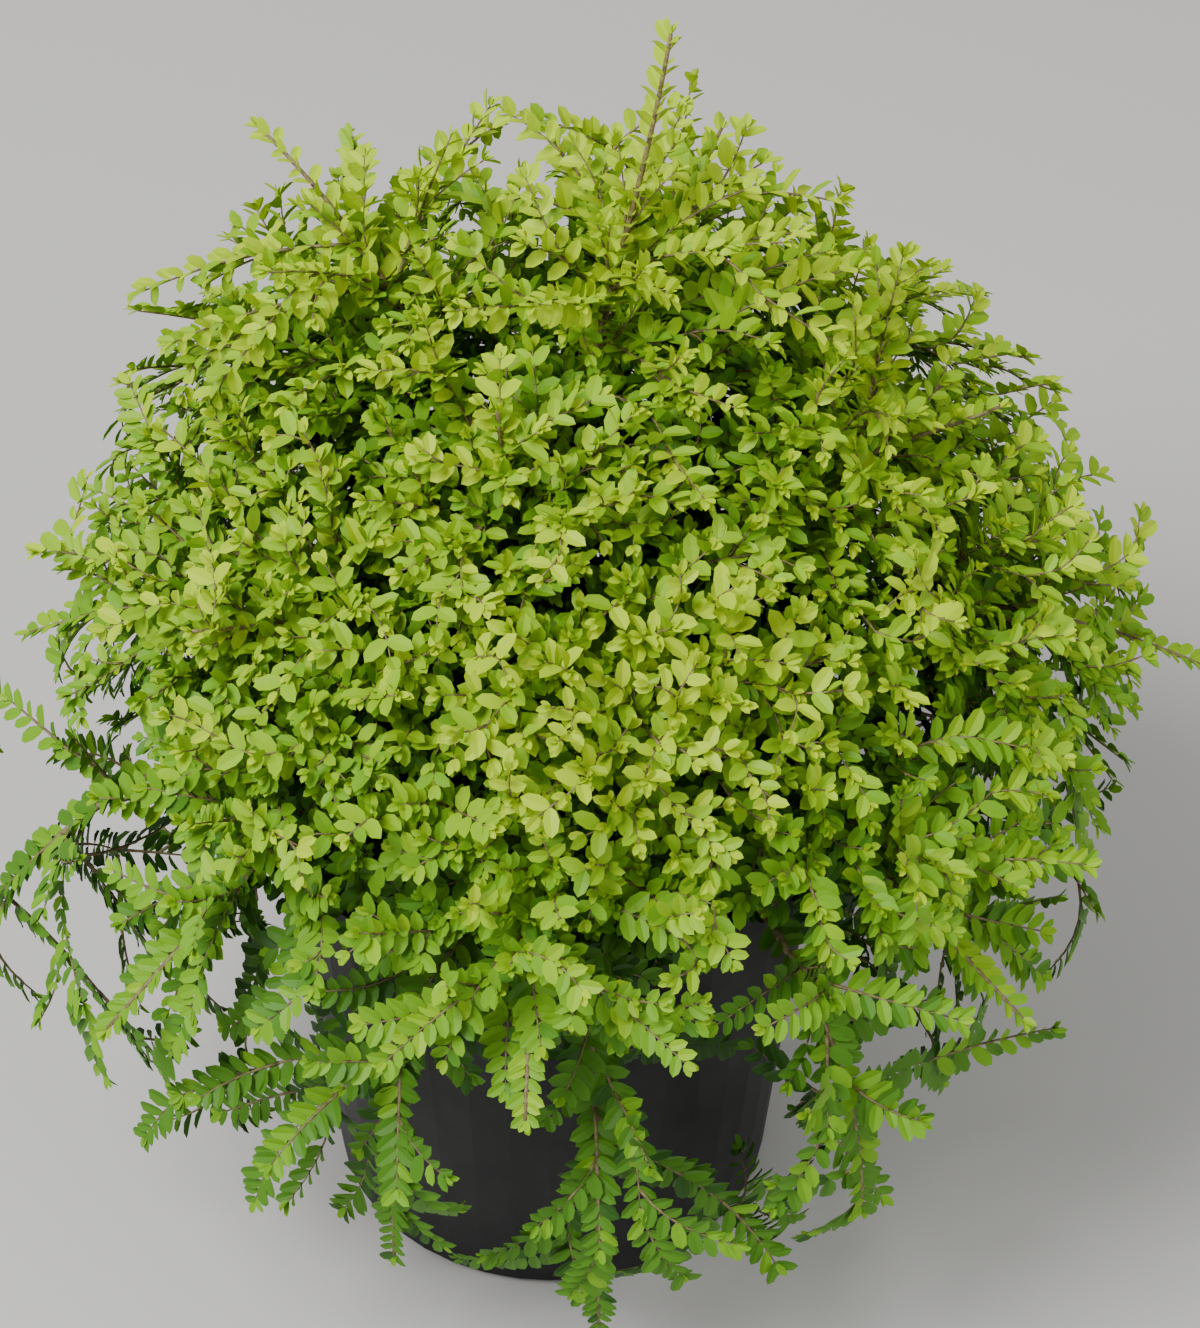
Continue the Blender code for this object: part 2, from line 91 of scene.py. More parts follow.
# First twigs, as in the solids
TWIG_RADIUS = 0.0012
TWIG_TRIES = 120
TWIG_ENDS_APART = 0.0360
TWIG_LONGEST = 0.085
TWIG_SHORTEST = 0.022
TWIG_ROOT_SITES = 30
TWIG_FORWARD = 0.62  # where on its stem a twig starts, as a share of the way to its end
TWIG_STEM_CLEAR = 0.03  # the share of a run past its bough's tip that bears no twig
TWIG_TEST_SHARES = (0.25, 0.5, 0.75, 1.0)
OUTER_SHELL = (0.76, 0.97)  # where twigs end, as shares of the crown's reach

# The room that each mass keeps to, as in the solids
LIMB_CLEARANCE = 0.0022
POT_CLEARANCE = 0.0035
GROUND_CLEARANCE = 0.020
SPACE_GAP = 0.0012
SPACE_MIDDLE = 0.70  # where on its run a mass has its middle
HEART = Vector((0.012, 0.0, 0.245))
OUTLINE_FOCUS = 12.0  # how closely the outline keeps to the tips nearest to a direction
LIMB_SAMPLES = 40
SKYWARD = 0.6  # how much a leaf faces the sky, against straight out of the crown
SQUARE_LEAST = 0.05  # with less than this square to an axis, another direction is taken

# Paths of the live wood
ARCH_HOLD = 0.45  # how far a twig keeps the way it leaves by, as a share of its length
MASS_STEM_STEPS = 12
TWIG_STEPS = 8
TWIG_LIFT = 0.30  # how much a twig turns up where it leaves its stem
FINE_TWIG_RADIUS = 0.0008
SHOOT_TIP_RADIUS = 0.0003

# Finer shoots
SHOOT_TRIES = 9000  # how many places are tried as tips in each round
DRAW_SEEDS = 10**6  # how many seeds a round's own draws choose from
WOOD_SHARES = (0.0, 0.5)  # where on each step of a path a shoot may start
BACKWARD_COST = 0.020  # how much further a shoot may come from to grow forward
SHOOT_LIFT = 0.25  # how much a shoot turns up where it leaves its wood
SHOOT_STEPS = 5
SHORT_SHOOT_STEPS = 3
SHORT_SHOOT = 0.020  # shoots up to this length have the fewer steps
LEAST_LENGTH = 1e-6  # keeps a division by a shoot's length in bounds

# Leaves, in opposite pairs along each shoot; a station of a leaf is how far along it
# and how wide it is
LEAF_LENGTH = 0.0102
LEAF_WIDTH = 0.54
LEAF_STATIONS = ((0.0, 0.0), (0.16, 0.68), (0.46, 1.0), (0.82, 0.76), (1.0, 0.0))
LEAF_FOLD = 0.10
LEAF_DROOP = 0.10
LEAF_ANGLE = math.radians(62)
LEAF_LIFT = math.radians(16)
LEAF_UPWARD = 0.5  # how much a leaf faces away from its shoot, against the light
LEAF_POT_GAP = 0.001
PAIR_SPACING = 0.0062
FIRST_PAIR = 0.004
CROSSED_KINDS = ("upper", "top")  # every second pair stands crosswise there

# How much leaves and pairs differ: ranges that each one's own change is drawn from,
# added to a leaf's angles, turn and light, and multiplied with a pair's size and spacing
LEAF_ANGLES = (-0.14, 0.14)
LEAF_LIFTS = (-0.12, 0.20)
LEAF_TWISTS = (-0.35, 0.35)
LEAF_LIGHTS = (-0.12, 0.10)
PAIR_SIZES = (0.80, 1.18)
PAIR_SPACINGS = (0.85, 1.15)

# How a pair at a shoot's tip compares with one at its root
TIP_PAIR_SIZE = 0.72
TIP_PAIR_ANGLE = 0.75
TIP_PAIR_SPACING = 0.70

# The small whorl of young leaves at each tip
TIP_LEAVES = 3
TIP_LEAF = 0.50  # their length, in leaf lengths
TIP_SIZES = (0.80, 1.20)
TIP_SWINGS = (-0.30, 0.30)
TIP_SPREAD = 0.5  # how far they spread from the shoot's own way
TIP_LIGHT = 0.14  # how much more sunlit they are than the shoot

# The leaves take their colour from this, so it paints shade into them deep in the crown and low
# down, and light high up and outside, on top of their own golden-to-green colour
# How sunlit a spot is: its place in the outline and its height, each counted from
# where it begins to matter and in shares of a span, weighed and added to a least light
Sun = namedtuple("Sun", "outward height least")
HANGING_SUN = Sun(0.40, 0.45, 0.15)
CROWN_SUN = Sun(0.55, 0.70, 0.14)
SUN_FROM_OUTLINE = 0.45
SUN_OUTLINE_SPAN = 0.50
SUN_FROM_HEIGHT = 0.30
SUN_HEIGHT_SPAN = 0.35

# The dense middle of the crown, which the long sprays stand out of
MOUND_MIDDLE = np.array((0.015, 0.0, 0.285))
MOUND_HALF = np.array((0.180, 0.160, 0.108))

# One round of growth: whether it is measured by the crown's outline or by its dense
# mound, how far apart its tips are, the shell that they fill, how long its shoots
# are, their radius, and how low they go
Growth = namedtuple("Growth", "by apart inner outer shortest longest radius low")
SPRAYS = Growth("outline", 0.0215, 0.60, 0.91, 0.030, 0.085, 0.0006, 0.030)
FILL = Growth("mound", 0.0113, 0.25, 0.92, 0.010, 0.040, 0.0005, 0.190)
SPURS = Growth("mound", 0.0105, 0.70, 1.12, 0.007, 0.015, 0.0005, 0.150)
HANGING = Growth("outline", 0.036, 0.60, 1.00, 0.030, 0.080, 0.0007, 0.030)
GROWTHS = {
    "trailing": (HANGING, FILL),
    "skirt": (SPRAYS, FILL, SPURS),
    "upper": (SPRAYS, FILL, SPURS),
    "top": (SPRAYS, FILL, SPURS),
}

# One kind of limb: the angles at which it leaves the stem and reaches its tip, how far
# it holds to them, its bare share, its root radius and the most twigs that it bears
Habit = namedtuple("Habit", "rise slope root_hold tip_hold bare radius twigs")
HABITS = {
    "trailing": Habit(30, -88, 0.60, 0.70, 0.46, 0.0015, 5),
    "skirt": Habit(38, -28, 0.45, 0.40, 0.34, 0.0018, 10),
    "upper": Habit(66, 24, 0.45, 0.35, 0.36, 0.0019, 10),
    "top": Habit(84, 80, 0.40, 0.35, 0.36, 0.0023, 10),
}

# Where each limb's tip is: its direction round the pot in degrees, its distance from
# the pot's axis and its height
Limb = namedtuple("Limb", "kind angle radius height")
LIMBS = {
    "front": Limb("skirt", 268, 0.185, 0.212),
    "front_left": Limb("skirt", 222, 0.205, 0.205),
    "left": Limb("skirt", 175, 0.190, 0.250),
    "back_left": Limb("skirt", 130, 0.200, 0.300),
    "back": Limb("skirt", 85, 0.190, 0.290),
    "back_right": Limb("skirt", 40, 0.208, 0.315),
    "right": Limb("skirt", 356, 0.240, 0.262),
    "front_right": Limb("skirt", 320, 0.215, 0.212),
    "upper_front": Limb("upper", 288, 0.125, 0.325),
    "upper_left": Limb("upper", 212, 0.140, 0.335),
    "upper_back_left": Limb("upper", 140, 0.130, 0.428),
    "upper_back": Limb("upper", 66, 0.155, 0.385),
    "upper_right": Limb("upper", 4, 0.158, 0.362),
    "middle": Limb("top", 250, 0.045, 0.405),
    "leader": Limb("top", 36, 0.052, 0.505),
    "trailing_front": Limb("trailing", 277, 0.150, 0.052),
    "trailing_front_left": Limb("trailing", 248, 0.150, 0.085),
    "trailing_front_right": Limb("trailing", 306, 0.190, 0.130),
    "trailing_left": Limb("trailing", 196, 0.215, 0.145),
    "trailing_back": Limb("trailing", 108, 0.175, 0.120),
    "trailing_right": Limb("trailing", 20, 0.200, 0.140),
}

# Leaf colours from the inside of the crown to its tips, partly the leaves' own colour (golden
# young leaves, greener old ones) and partly painted shade and light: darker deep inside and low
# down, paler high up and outside
LeafPaint = namedtuple("LeafPaint", "name colour slot")
LEAF_PAINTS = [
    LeafPaint("shaded_leaves", (0.030, 0.105, 0.008), "green_leaf"),
    LeafPaint("green_leaves", (0.075, 0.215, 0.010), "green_leaf"),
    LeafPaint("lime_leaves", (0.165, 0.370, 0.008), "gold_leaf"),
    LeafPaint("yellow_green_leaves", (0.270, 0.480, 0.007), "gold_leaf"),
    LeafPaint("golden_leaves", (0.430, 0.610, 0.010), "gold_leaf"),
]
CROWN_SLACK = 0.008  # how far past the solids' box a leaf may reach

# Round limbs: their sides and steps, and their bark's relief as a share of their radius
MAIN_STEM_SIDES = 28
MAIN_STEM_STEPS = 60
MAIN_STEM_SUNK = 0.002  # how far the foot goes down into the crumbs
BOUGH_SIDES = 10
BOUGH_STEPS = 40
TWIG_SIDES = 6
FINE_TWIG_SIDES = 4
BARK_RELIEF = 0.10
TWIG_RELIEF = 0.05

# Grains of the bark: how fast each changes round a limb and along it, and its share
BARK_GRAINS = ((2.6, 60, 1.0), (5.0, 300, 0.5))

# Compost surface; a kind of crumb is how fast it changes over the surface and its height
SOIL_RINGS = 64
SOIL_SPOKES = 180
SOIL_FLAT_RINGS = 3  # the crumbs die away over these at the wall
SOIL_SUNK = 0.0012  # how far the surface between the crumbs lies under the solid's
SOIL_FOOT_INSET = 0.006
SOIL_FOOT = 0.0026  # the height of the flat underside
CRUMBS = ((260, 0.0030), (620, 0.0016))

# Where on the grain the dark and the pale tone of a two-tone colour are reached
DARK_AT = 0.35
PALE_AT = 0.68

FLOOR_HALF = 6.0
LIGHTS_AIM = Vector((0, 0, 0.25))
SKY_STRENGTH = 0.50

# Camera, fitted on the pot; the focal length is in the photograph's own pixels
CAMERA_PLACE = (0.0188, -1.1873, 1.3651)
CAMERA_PITCH = math.radians(43.2)
IMAGE_HEIGHT = 1328
FOCAL_PIXELS = 4500
SENSOR_WIDTH = 36.0


def blend(a, b, share):
    return a + (b - a) * share


def wall_radius(height):
    """The pot's outer radius at a height, without its band."""
    return POT_BASE_RADIUS + (POT_TOP_RADIUS - POT_BASE_RADIUS) * (height / POT_HEIGHT)


def compost_height(radius):
    """The compost's surface: level at the wall, a little higher round the stem."""
    share = 1 - radius / POT_TOP_RADIUS
    return POT_HEIGHT - COMPOST_BELOW_RIM + COMPOST_MOUND * share * share


STEM_FOOT = compost_height(STEM_FOOT_RADIUS + CLEAR) + CLEAR


def stem_axis(height):
    share = (height - STEM_FOOT) / (STEM_TOP - STEM_FOOT)
    lean = STEM_LEAN * share * share
    return Vector((lean / 2, lean, height))


def stem_radius(height):
    rise = height - STEM_FOOT
    share = rise / (STEM_TOP - STEM_FOOT)
    flare = max(0.0, 1 - rise / STEM_FLARE_HEIGHT)
    taper = STEM_RADIUS + (STEM_TIP_RADIUS - STEM_RADIUS) * share
    return taper + (STEM_FOOT_RADIUS - STEM_RADIUS) * flare * flare


def bezier(a, b, c, d, t):
    s = 1 - t
    return a * s**3 + b * (3 * s * s * t) + c * (3 * s * t * t) + d * t**3


class Run:
    """A limb's whole run, from the main stem through its bough to its last tip."""

    def __init__(self, name, limb, fork):
        self.name = name
        self.kind = limb.kind
        habit = HABITS[limb.kind]
        self.bare = habit.bare
        self.most_twigs = habit.twigs
        self.root_radius = habit.radius
        turn = math.radians(limb.angle)
        rise = math.radians(habit.rise)
        slope = math.radians(habit.slope)
        outward = Vector((math.cos(turn), math.sin(turn), 0))
        leave = outward * math.cos(rise) + UP * math.sin(rise)
        arrive = outward * math.cos(slope) + UP * math.sin(slope)
        self.tip = outward * limb.radius + UP * limb.height
        if name == "leader":
            leave = UP
            self.start = stem_axis(STEM_TOP)
        else:
            self.start = stem_axis(fork) + outward * (stem_radius(fork) * FORK_DEPTH)
        span = (self.tip - self.start).length
        self.root_hold = self.start + leave * span * habit.root_hold
        self.tip_hold = self.tip - arrive * span * habit.tip_hold
        if limb.kind == "trailing":
            self.tip_hold = outward * limb.radius + UP * TRAILING_CREST
        self.middle = self.at(SPACE_MIDDLE)

    def at(self, t):
        return bezier(self.start, self.root_hold, self.tip_hold, self.tip, t)

    def radius(self, t):
        if t <= self.bare:
            return blend(self.root_radius, BOUGH_END_RADIUS, t / self.bare)
        return blend(BOUGH_END_RADIUS, STEM_END_RADIUS, (t - self.bare) / (1 - self.bare))


def plan_runs():
    order = sorted(LIMBS, key=lambda name: LIMBS[name].height)
    step = (FORK_HIGH - FORK_LOW) / (len(order) - 1)
    forks = {name: FORK_LOW + i * step for i, name in enumerate(order)}
    return [Run(name, limb, forks[name]) for name, limb in LIMBS.items()]


def in_pot(points, clearance):
    """True for each point of an array that lies in the pot or too close to it."""
    from_axis = np.hypot(points[..., 0], points[..., 1])
    low = points[..., 2] < POT_HEIGHT + clearance
    return low & (from_axis < POT_TOP_RADIUS + BAND_PROUD + clearance)


class Space:
    """The room that one mass keeps to: the points that lie nearer to its middle
    than to any other mass's, off the pot and the ground. It also measures how far
    out in the crown a point lies, and tests whether a twig is clear of the limbs."""

    def __init__(self, run, runs):
        others = [other.middle for other in runs if other is not run]
        self.walls = np.array([(other - run.middle).normalized() for other in others])
        halfway = np.array([(other + run.middle) / 2 for other in others])
        self.limits = (self.walls * halfway).sum(axis=1) - SPACE_GAP / 2
        tips = [other.tip - HEART for other in runs]
        self.tip_ways = np.array([tip.normalized() for tip in tips])
        self.tip_reach = np.array([tip.length for tip in tips])
        heights = [blend(STEM_FOOT, STEM_TOP, i / LIMB_SAMPLES) for i in range(LIMB_SAMPLES)]
        limbs = [(*stem_axis(height), stem_radius(height)) for height in heights]
        for other in runs:
            steps = [other.bare * i / LIMB_SAMPLES for i in range(LIMB_SAMPLES + 1)]
            limbs += [(*other.at(t), other.radius(t)) for t in steps]
        limbs = np.array(limbs)
        self.limb_points = limbs[:, :3]
        self.limb_radii = limbs[:, 3]

    def outline(self, point):
        """How far out of the crown's heart a point lies, as a share of the reach of
        the tips that lie its way."""
        way = point - HEART
        near = np.exp(OUTLINE_FOCUS * (self.tip_ways @ np.array(way.normalized()) - 1))
        return way.length / ((near * self.tip_reach).sum() / near.sum())

    def outlines(self, points):
        """The same for an array of points."""
        ways = points - np.array(HEART)
        lengths = np.linalg.norm(ways, axis=1)
        turned = (ways / lengths[:, None]) @ self.tip_ways.T
        near = np.exp(OUTLINE_FOCUS * (turned - 1))
        return lengths * near.sum(axis=1) / (near * self.tip_reach).sum(axis=1)

    def open_mask(self, points):
        """True for each point that isn't in the pot, in the ground or past the walls."""
        inside = (points @ self.walls.T <= self.limits).all(axis=1)
        return inside & ~in_pot(points, POT_CLEARANCE) & (points[:, 2] > GROUND_CLEARANCE)

    def holds(self, points, radius):
        """Whether all points are open, and clear of the limbs and walls by a radius."""
        sites = np.array(points)
        if (sites @ self.walls.T > self.limits - radius).any():
            return False
        if not self.open_mask(sites).all():
            return False
        gaps = np.linalg.norm(sites[:, None] - self.limb_points[None], axis=2)
        return not (gaps < self.limb_radii + radius + LIMB_CLEARANCE).any()


def light_on(point):
    """The way that a leaf at a point of the crown turns its upper side."""
    return ((point - HEART).normalized() + UP * SKYWARD).normalized()


def sunlight(space, point, kind):
    """From about 0 deep in the crown to about 1 at its sunlit outside. The leaves' colours
    follow it, so they hold painted shade and light as well as their own colour.
    """
    sun = HANGING_SUN if kind == "trailing" else CROWN_SUN
    outward = (space.outline(point) - SUN_FROM_OUTLINE) / SUN_OUTLINE_SPAN
    height = (point.z - SUN_FROM_HEIGHT) / SUN_HEIGHT_SPAN
    return sun.outward * outward + sun.height * height + sun.least


def upright(way, axis):
    """The part of a direction that is square to an axis, as a unit vector."""
    square = way - axis * way.dot(axis)
    if square.length < SQUARE_LEAST:
        square = axis.orthogonal()
    return square.normalized()


# One length of live wood: its path, its radii, how sunlit its tip is, and whether it
# is one of the finer shoots
Shoot = namedtuple("Shoot", "path radii light fine")


def arched(root, leave, end, steps):
    """A twig's path from its root, leaving one way and bending over to its end."""
    hold = root + leave * (end - root).length * ARCH_HOLD
    shares = [i / steps for i in range(steps + 1)]
    return [root * (1 - s) ** 2 + hold * (2 * s * (1 - s)) + end * s * s for s in shares]


def tapered(root_radius, steps):
    """The radii of a twig from its root to its tip."""
    return [blend(root_radius, SHOOT_TIP_RADIUS, i / steps) for i in range(steps + 1)]


def plan_twigs(run, space, ends, dice):
    """The root and end of each twig of a mass, by the rule of the solids."""
    twigs = []
    sites = TWIG_ROOT_SITES
    along = [blend(run.bare, 1, i / sites) for i in range(sites)]
    ends.append(run.tip)
    while len(twigs) < run.most_twigs:
        best = None
        for _ in range(TWIG_TRIES):
            end = run.middle + Vector([dice.uniform(-1, 1) for _ in range(3)]) * TWIG_LONGEST
            if not OUTER_SHELL[0] < space.outline(end) < OUTER_SHELL[1]:
                continue
            gap = min((end - other).length for other in ends)
            if gap < TWIG_ENDS_APART or (best and gap < best[0]):
                continue
            nearest = min(along, key=lambda t: (run.at(t) - end).length)
            root = run.at(blend(run.bare + TWIG_STEM_CLEAR, nearest, TWIG_FORWARD))
            path = [root.lerp(end, share) for share in TWIG_TEST_SHARES]
            length = (end - root).length
            if TWIG_SHORTEST < length < TWIG_LONGEST and space.holds(path, TWIG_RADIUS):
                best = (gap, root, end)
        if not best:
            break
        ends.append(best[2])
        twigs.append(best[1:])
    return twigs


def spread_tips(run, space, shoots, growth, dice):
    """Places for new tips, spread evenly through a shell of a mass's space, from the
    innermost one outwards."""
    reach = max((point - run.middle).length for shoot in shoots for point in shoot.path)
    draws = np.random.default_rng(dice.randrange(DRAW_SEEDS))
    drawn = draws.uniform(-1, 1, (SHOOT_TRIES, 3))
    spots = np.array(run.middle) + drawn * (reach + growth.longest / 2)
    if growth.by == "outline":
        shares = space.outlines(spots)
    else:
        shares = np.linalg.norm((spots - MOUND_MIDDLE) / MOUND_HALF, axis=1)
    fit = (shares > growth.inner) & (shares < growth.outer) & (spots[:, 2] > growth.low)
    fit &= space.open_mask(spots)
    chosen = []
    taken = np.empty((0, 3))
    for spot, share in zip(spots[fit], shares[fit]):
        if len(taken) and np.linalg.norm(taken - spot, axis=1).min() < growth.apart:
            continue
        chosen.append((share, Vector(spot)))
        taken = np.vstack([taken, spot])
    chosen.sort(key=lambda item: item[0])
    return [spot for _, spot in chosen]


def branch_on(run, space, shoots, growth, dice):
    """One round of growth on a mass: a shoot to each new tip from the nearest wood
    that it can go on from."""
    steps = [(a, b) for shoot in shoots for a, b in zip(shoot.path, shoot.path[1:])]
    wood = np.array([tuple(a.lerp(b, share)) for a, b in steps for share in WOOD_SHARES])
    ways = np.array([tuple((b - a).normalized()) for a, b in steps for _ in WOOD_SHARES])
    made = []
    for tip in spread_tips(run, space, shoots, growth, dice):
        offsets = np.array(tip) - wood
        lengths = np.linalg.norm(offsets, axis=1)
        forward = (offsets * ways).sum(axis=1) / np.maximum(lengths, LEAST_LENGTH)
        too_near = lengths < growth.shortest
        cost = lengths + BACKWARD_COST * (1 - forward) + too_near * growth.longest
        i = int(cost.argmin())
        if not growth.shortest < lengths[i] < growth.longest:
            continue
        root = Vector(wood[i])
        leave = (Vector(ways[i]) + (tip - root).normalized() + UP * SHOOT_LIFT).normalized()
        count = SHOOT_STEPS if lengths[i] > SHORT_SHOOT else SHORT_SHOOT_STEPS
        path = arched(root, leave, tip, count)
        if not space.open_mask(np.array(path[1:])).all():
            continue
        light = sunlight(space, tip, run.kind)
        made.append(Shoot(path, tapered(growth.radius, count), light, True))
        wood = np.vstack([wood, [tuple(point) for point in path[2:]]])
        new_ways = [tuple((b - a).normalized()) for a, b in zip(path[1:], path[2:])]
        ways = np.vstack([ways, new_ways])
    return made


# One mass: its run, all its live wood and the dice that its leaves go on from
Mass = namedtuple("Mass", "run shoots dice")


def grow(run, runs, ends):
    """One mass: the stem on from its bough's tip, its twigs and their finer shoots."""
    dice = random.Random(f"{SEED} {run.name}")
    space = Space(run, runs)
    along = [blend(run.bare, 1, i / MASS_STEM_STEPS) for i in range(MASS_STEM_STEPS + 1)]
    stem_path = [run.at(t) for t in along]
    stem_radii = [run.radius(t) for t in along]
    shoots = [Shoot(stem_path, stem_radii, sunlight(space, run.tip, run.kind), False)]
    for root, end in plan_twigs(run, space, ends, dice):
        leave = ((end - root).normalized() + UP * TWIG_LIFT).normalized()
        path = arched(root, leave, end, TWIG_STEPS)
        radii = tapered(FINE_TWIG_RADIUS, TWIG_STEPS)
        shoots.append(Shoot(path, radii, sunlight(space, end, run.kind), False))
    for growth in GROWTHS[run.kind]:
        shoots += branch_on(run, space, shoots, growth, dice)
    return Mass(run, shoots, dice)


# One leaf: its root, the way it points, its side, its upper side, its length and its light
Leaf = namedtuple("Leaf", "root out side face size light")


def leaf_pairs(shoot, kind, dice):
    """The opposite pairs of leaves along a shoot, smaller and closer together
    towards its tip."""
    path = shoot.path
    spans = [(b - a).length for a, b in zip(path, path[1:])]
    total = sum(spans)
    made = []
    gone = FIRST_PAIR + dice.uniform(0, PAIR_SPACING / 2)
    pair = 0
    while gone < total:
        i = 0
        before = 0.0
        while i < len(spans) - 1 and before + spans[i] < gone:
            before += spans[i]
            i += 1
        along = (path[i + 1] - path[i]).normalized()
        root = path[i] + along * (gone - before)
        up = upright(light_on(root), along)
        side = along.cross(up)
        if kind in CROSSED_KINDS and pair % 2:
            side, up = up, -side
        share = gone / total
        size = LEAF_LENGTH * blend(1.0, TIP_PAIR_SIZE, share * share) * dice.uniform(*PAIR_SIZES)
        for sign in (1, -1):
            angle = LEAF_ANGLE * blend(1.0, TIP_PAIR_ANGLE, share) + dice.uniform(*LEAF_ANGLES)
            lift = LEAF_LIFT + dice.uniform(*LEAF_LIFTS)
            away = side * (sign * math.cos(lift)) + up * math.sin(lift)
            out = (along * math.cos(angle) + away * math.sin(angle)).normalized()
            upward = light_on(root) + up * LEAF_UPWARD
            face = upright(upward + side * dice.uniform(*LEAF_TWISTS), out)
            light = shoot.light + dice.uniform(*LEAF_LIGHTS)
            made.append(Leaf(root, out, face.cross(out), face, size, light))
        spacing = PAIR_SPACING * dice.uniform(*PAIR_SPACINGS)
        gone += spacing * blend(1.0, TIP_PAIR_SPACING, share)
        pair += 1
    return made


def tip_leaves(shoot, dice):
    """The young leaves round a shoot's tip."""
    tip = shoot.path[-1]
    along = (tip - shoot.path[-2]).normalized()
    up = upright(light_on(tip), along)
    side = along.cross(up)
    made = []
    for k in range(TIP_LEAVES):
        swing = math.tau * k / TIP_LEAVES + dice.uniform(*TIP_SWINGS)
        away = side * math.cos(swing) + up * math.sin(swing)
        out = (along + away * TIP_SPREAD).normalized()
        size = LEAF_LENGTH * TIP_LEAF * dice.uniform(*TIP_SIZES)
        face = upright(light_on(tip) + up, out)
        made.append(Leaf(tip, out, face.cross(out), face, size, shoot.light + TIP_LIGHT))
    return made


def deal_leaves(masses):
    """All the crown's leaves, dealt out to the leaf colours by how sunlit they are, so that the
    colours carry painted shade and light.
    """
    dealt = [[] for _ in LEAF_PAINTS]
    last = len(LEAF_PAINTS) - 1
    for mass in masses:
        for shoot in mass.shoots:
            borne = leaf_pairs(shoot, mass.run.kind, mass.dice)
            borne += tip_leaves(shoot, mass.dice)
            for leaf in borne:
                group = int(leaf.light * len(LEAF_PAINTS))
                dealt[min(last, max(0, group))].append(leaf)
    return dealt


def leaf_outline():
    """A unit leaf: blunt, widest near its middle, folded a little along its midrib
    and bent down towards its tip. Its points and its faces."""
    points = [(along, 0.0, -LEAF_DROOP * along * along) for along, _ in LEAF_STATIONS]
    last = len(LEAF_STATIONS) - 1
    faces = []
    for side in (1, -1):
        first = len(points)
        for along, wide in LEAF_STATIONS[1:last]:
            lift = LEAF_FOLD * wide - LEAF_DROOP * along * along
            points.append((along, side * wide * LEAF_WIDTH / 2, lift))
        half = []
        for k in range(last):
            edge = min(first + k, len(points) - 1)
            half.append((k, k + 1, edge))
            if 0 < k < last - 1:
                half.append((k, edge, edge - 1))
        faces += half if side > 0 else [face[::-1] for face in half]
    return np.array(points), np.array(faces)


def new_piece(name, points, faces, material, smooth=False):
    data = bpy.data.meshes.new(name)
    data.from_pydata(points, [], faces)
    data.materials.append(material)
    data.polygons.foreach_set("use_smooth", [smooth] * len(data.polygons))
    data.update()
    made = bpy.data.objects.new(name, data)
    bpy.context.scene.collection.objects.link(made)
    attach(made, "root")
    return made


def rows(leaves, field):
    """One vector of each leaf, as an array."""
    return np.array([tuple(getattr(leaf, field)) for leaf in leaves])[:, None]


def leaf_piece(paint, leaves):
    """The leaves of one colour as one piece, without any that would reach into the
    pot or past the solids' box."""
    unit, faces = leaf_outline()
    sizes = np.array([leaf.size for leaf in leaves])[:, None, None]
    shape = (
        unit[None, :, 0:1] * rows(leaves, "out")
        + unit[None, :, 1:2] * rows(leaves, "side")
        + unit[None, :, 2:3] * rows(leaves, "face")
    )
    points = rows(leaves, "root") + shape * sizes
    low_corner = np.array(cad_box[0]) - CROWN_SLACK
    high_corner = np.array(cad_box[1]) + CROWN_SLACK
    outside = (points < low_corner).any(axis=2) | (points > high_corner).any(axis=2)
    points = points[~(in_pot(points, LEAF_POT_GAP) | outside).any(axis=1)]
    shifts = np.arange(len(points))[:, None, None] * len(unit)
    all_faces = (faces[None] + shifts).reshape(-1, 3)
    material = leaf_material(paint.name, paint.colour)
    return new_piece(paint.name, points.reshape(-1, 3), all_faces, material)


def bark_relief(way, centre):
    """How far the bark stands out at one place on a limb, as a share of its relief."""
    return sum(
        share * noise.noise(way * round_limb + centre * along_limb)
        for round_limb, along_limb, share in BARK_GRAINS
    )


def tube(path, radii, sides, relief=0.0):
    """A tapering limb round a path, with ridged bark where it has relief."""
    points = []
    along = (path[1] - path[0]).normalized()
    across = along.orthogonal().normalized()
    for i, (centre, radius) in enumerate(zip(path, radii)):
        if i:
            ahead = path[min(i + 1, len(path) - 1)] - path[i - 1]
            along = ahead.normalized()
            across = upright(across, along)
        other = along.cross(across)
        for k in range(sides):
            turn = math.tau * k / sides
            way = across * math.cos(turn) + other * math.sin(turn)
            rough = relief * bark_relief(way, centre) if relief else 0.0
            points.append(tuple(centre + way * radius * (1 + rough)))
    faces = []
    for i in range(len(path) - 1):
        for k in range(sides):
            a = i * sides + k
            b = i * sides + (k + 1) % sides
            faces.append((a, b, b + sides, a + sides))
    faces.append(tuple(range(sides))[::-1])
    faces.append(tuple(range((len(path) - 1) * sides, len(path) * sides)))
    return points, faces


def joined_tubes(name, tubes, material):
    points = []
    faces = []
    for some_points, some_faces in tubes:
        shift = len(points)
        points += some_points
        faces += [tuple(i + shift for i in face) for face in some_faces]
    return new_piece(name, points, faces, material, smooth=True)


def bark_tubes(runs):
    """The main stem and the bare boughs, with bark relief."""
    foot = STEM_FOOT - MAIN_STEM_SUNK
    steps = MAIN_STEM_STEPS
    heights = [blend(foot, STEM_TOP, i / steps) for i in range(steps + 1)]
    path = [stem_axis(height) for height in heights]
    radii = [stem_radius(height) for height in heights]
    tubes = [tube(path, radii, MAIN_STEM_SIDES, BARK_RELIEF)]
    for run in runs:
        along = [run.bare * i / BOUGH_STEPS for i in range(BOUGH_STEPS + 1)]
        path = [run.at(t) for t in along]
        radii = [run.radius(t) for t in along]
        tubes.append(tube(path, radii, BOUGH_SIDES, BARK_RELIEF))
    return tubes


def crumb_height(spot):
    """How high the coarse and the fine crumbs stand at a spot of the surface."""
    return sum(abs(noise.noise(spot * scale)) * height for scale, height in CRUMBS)


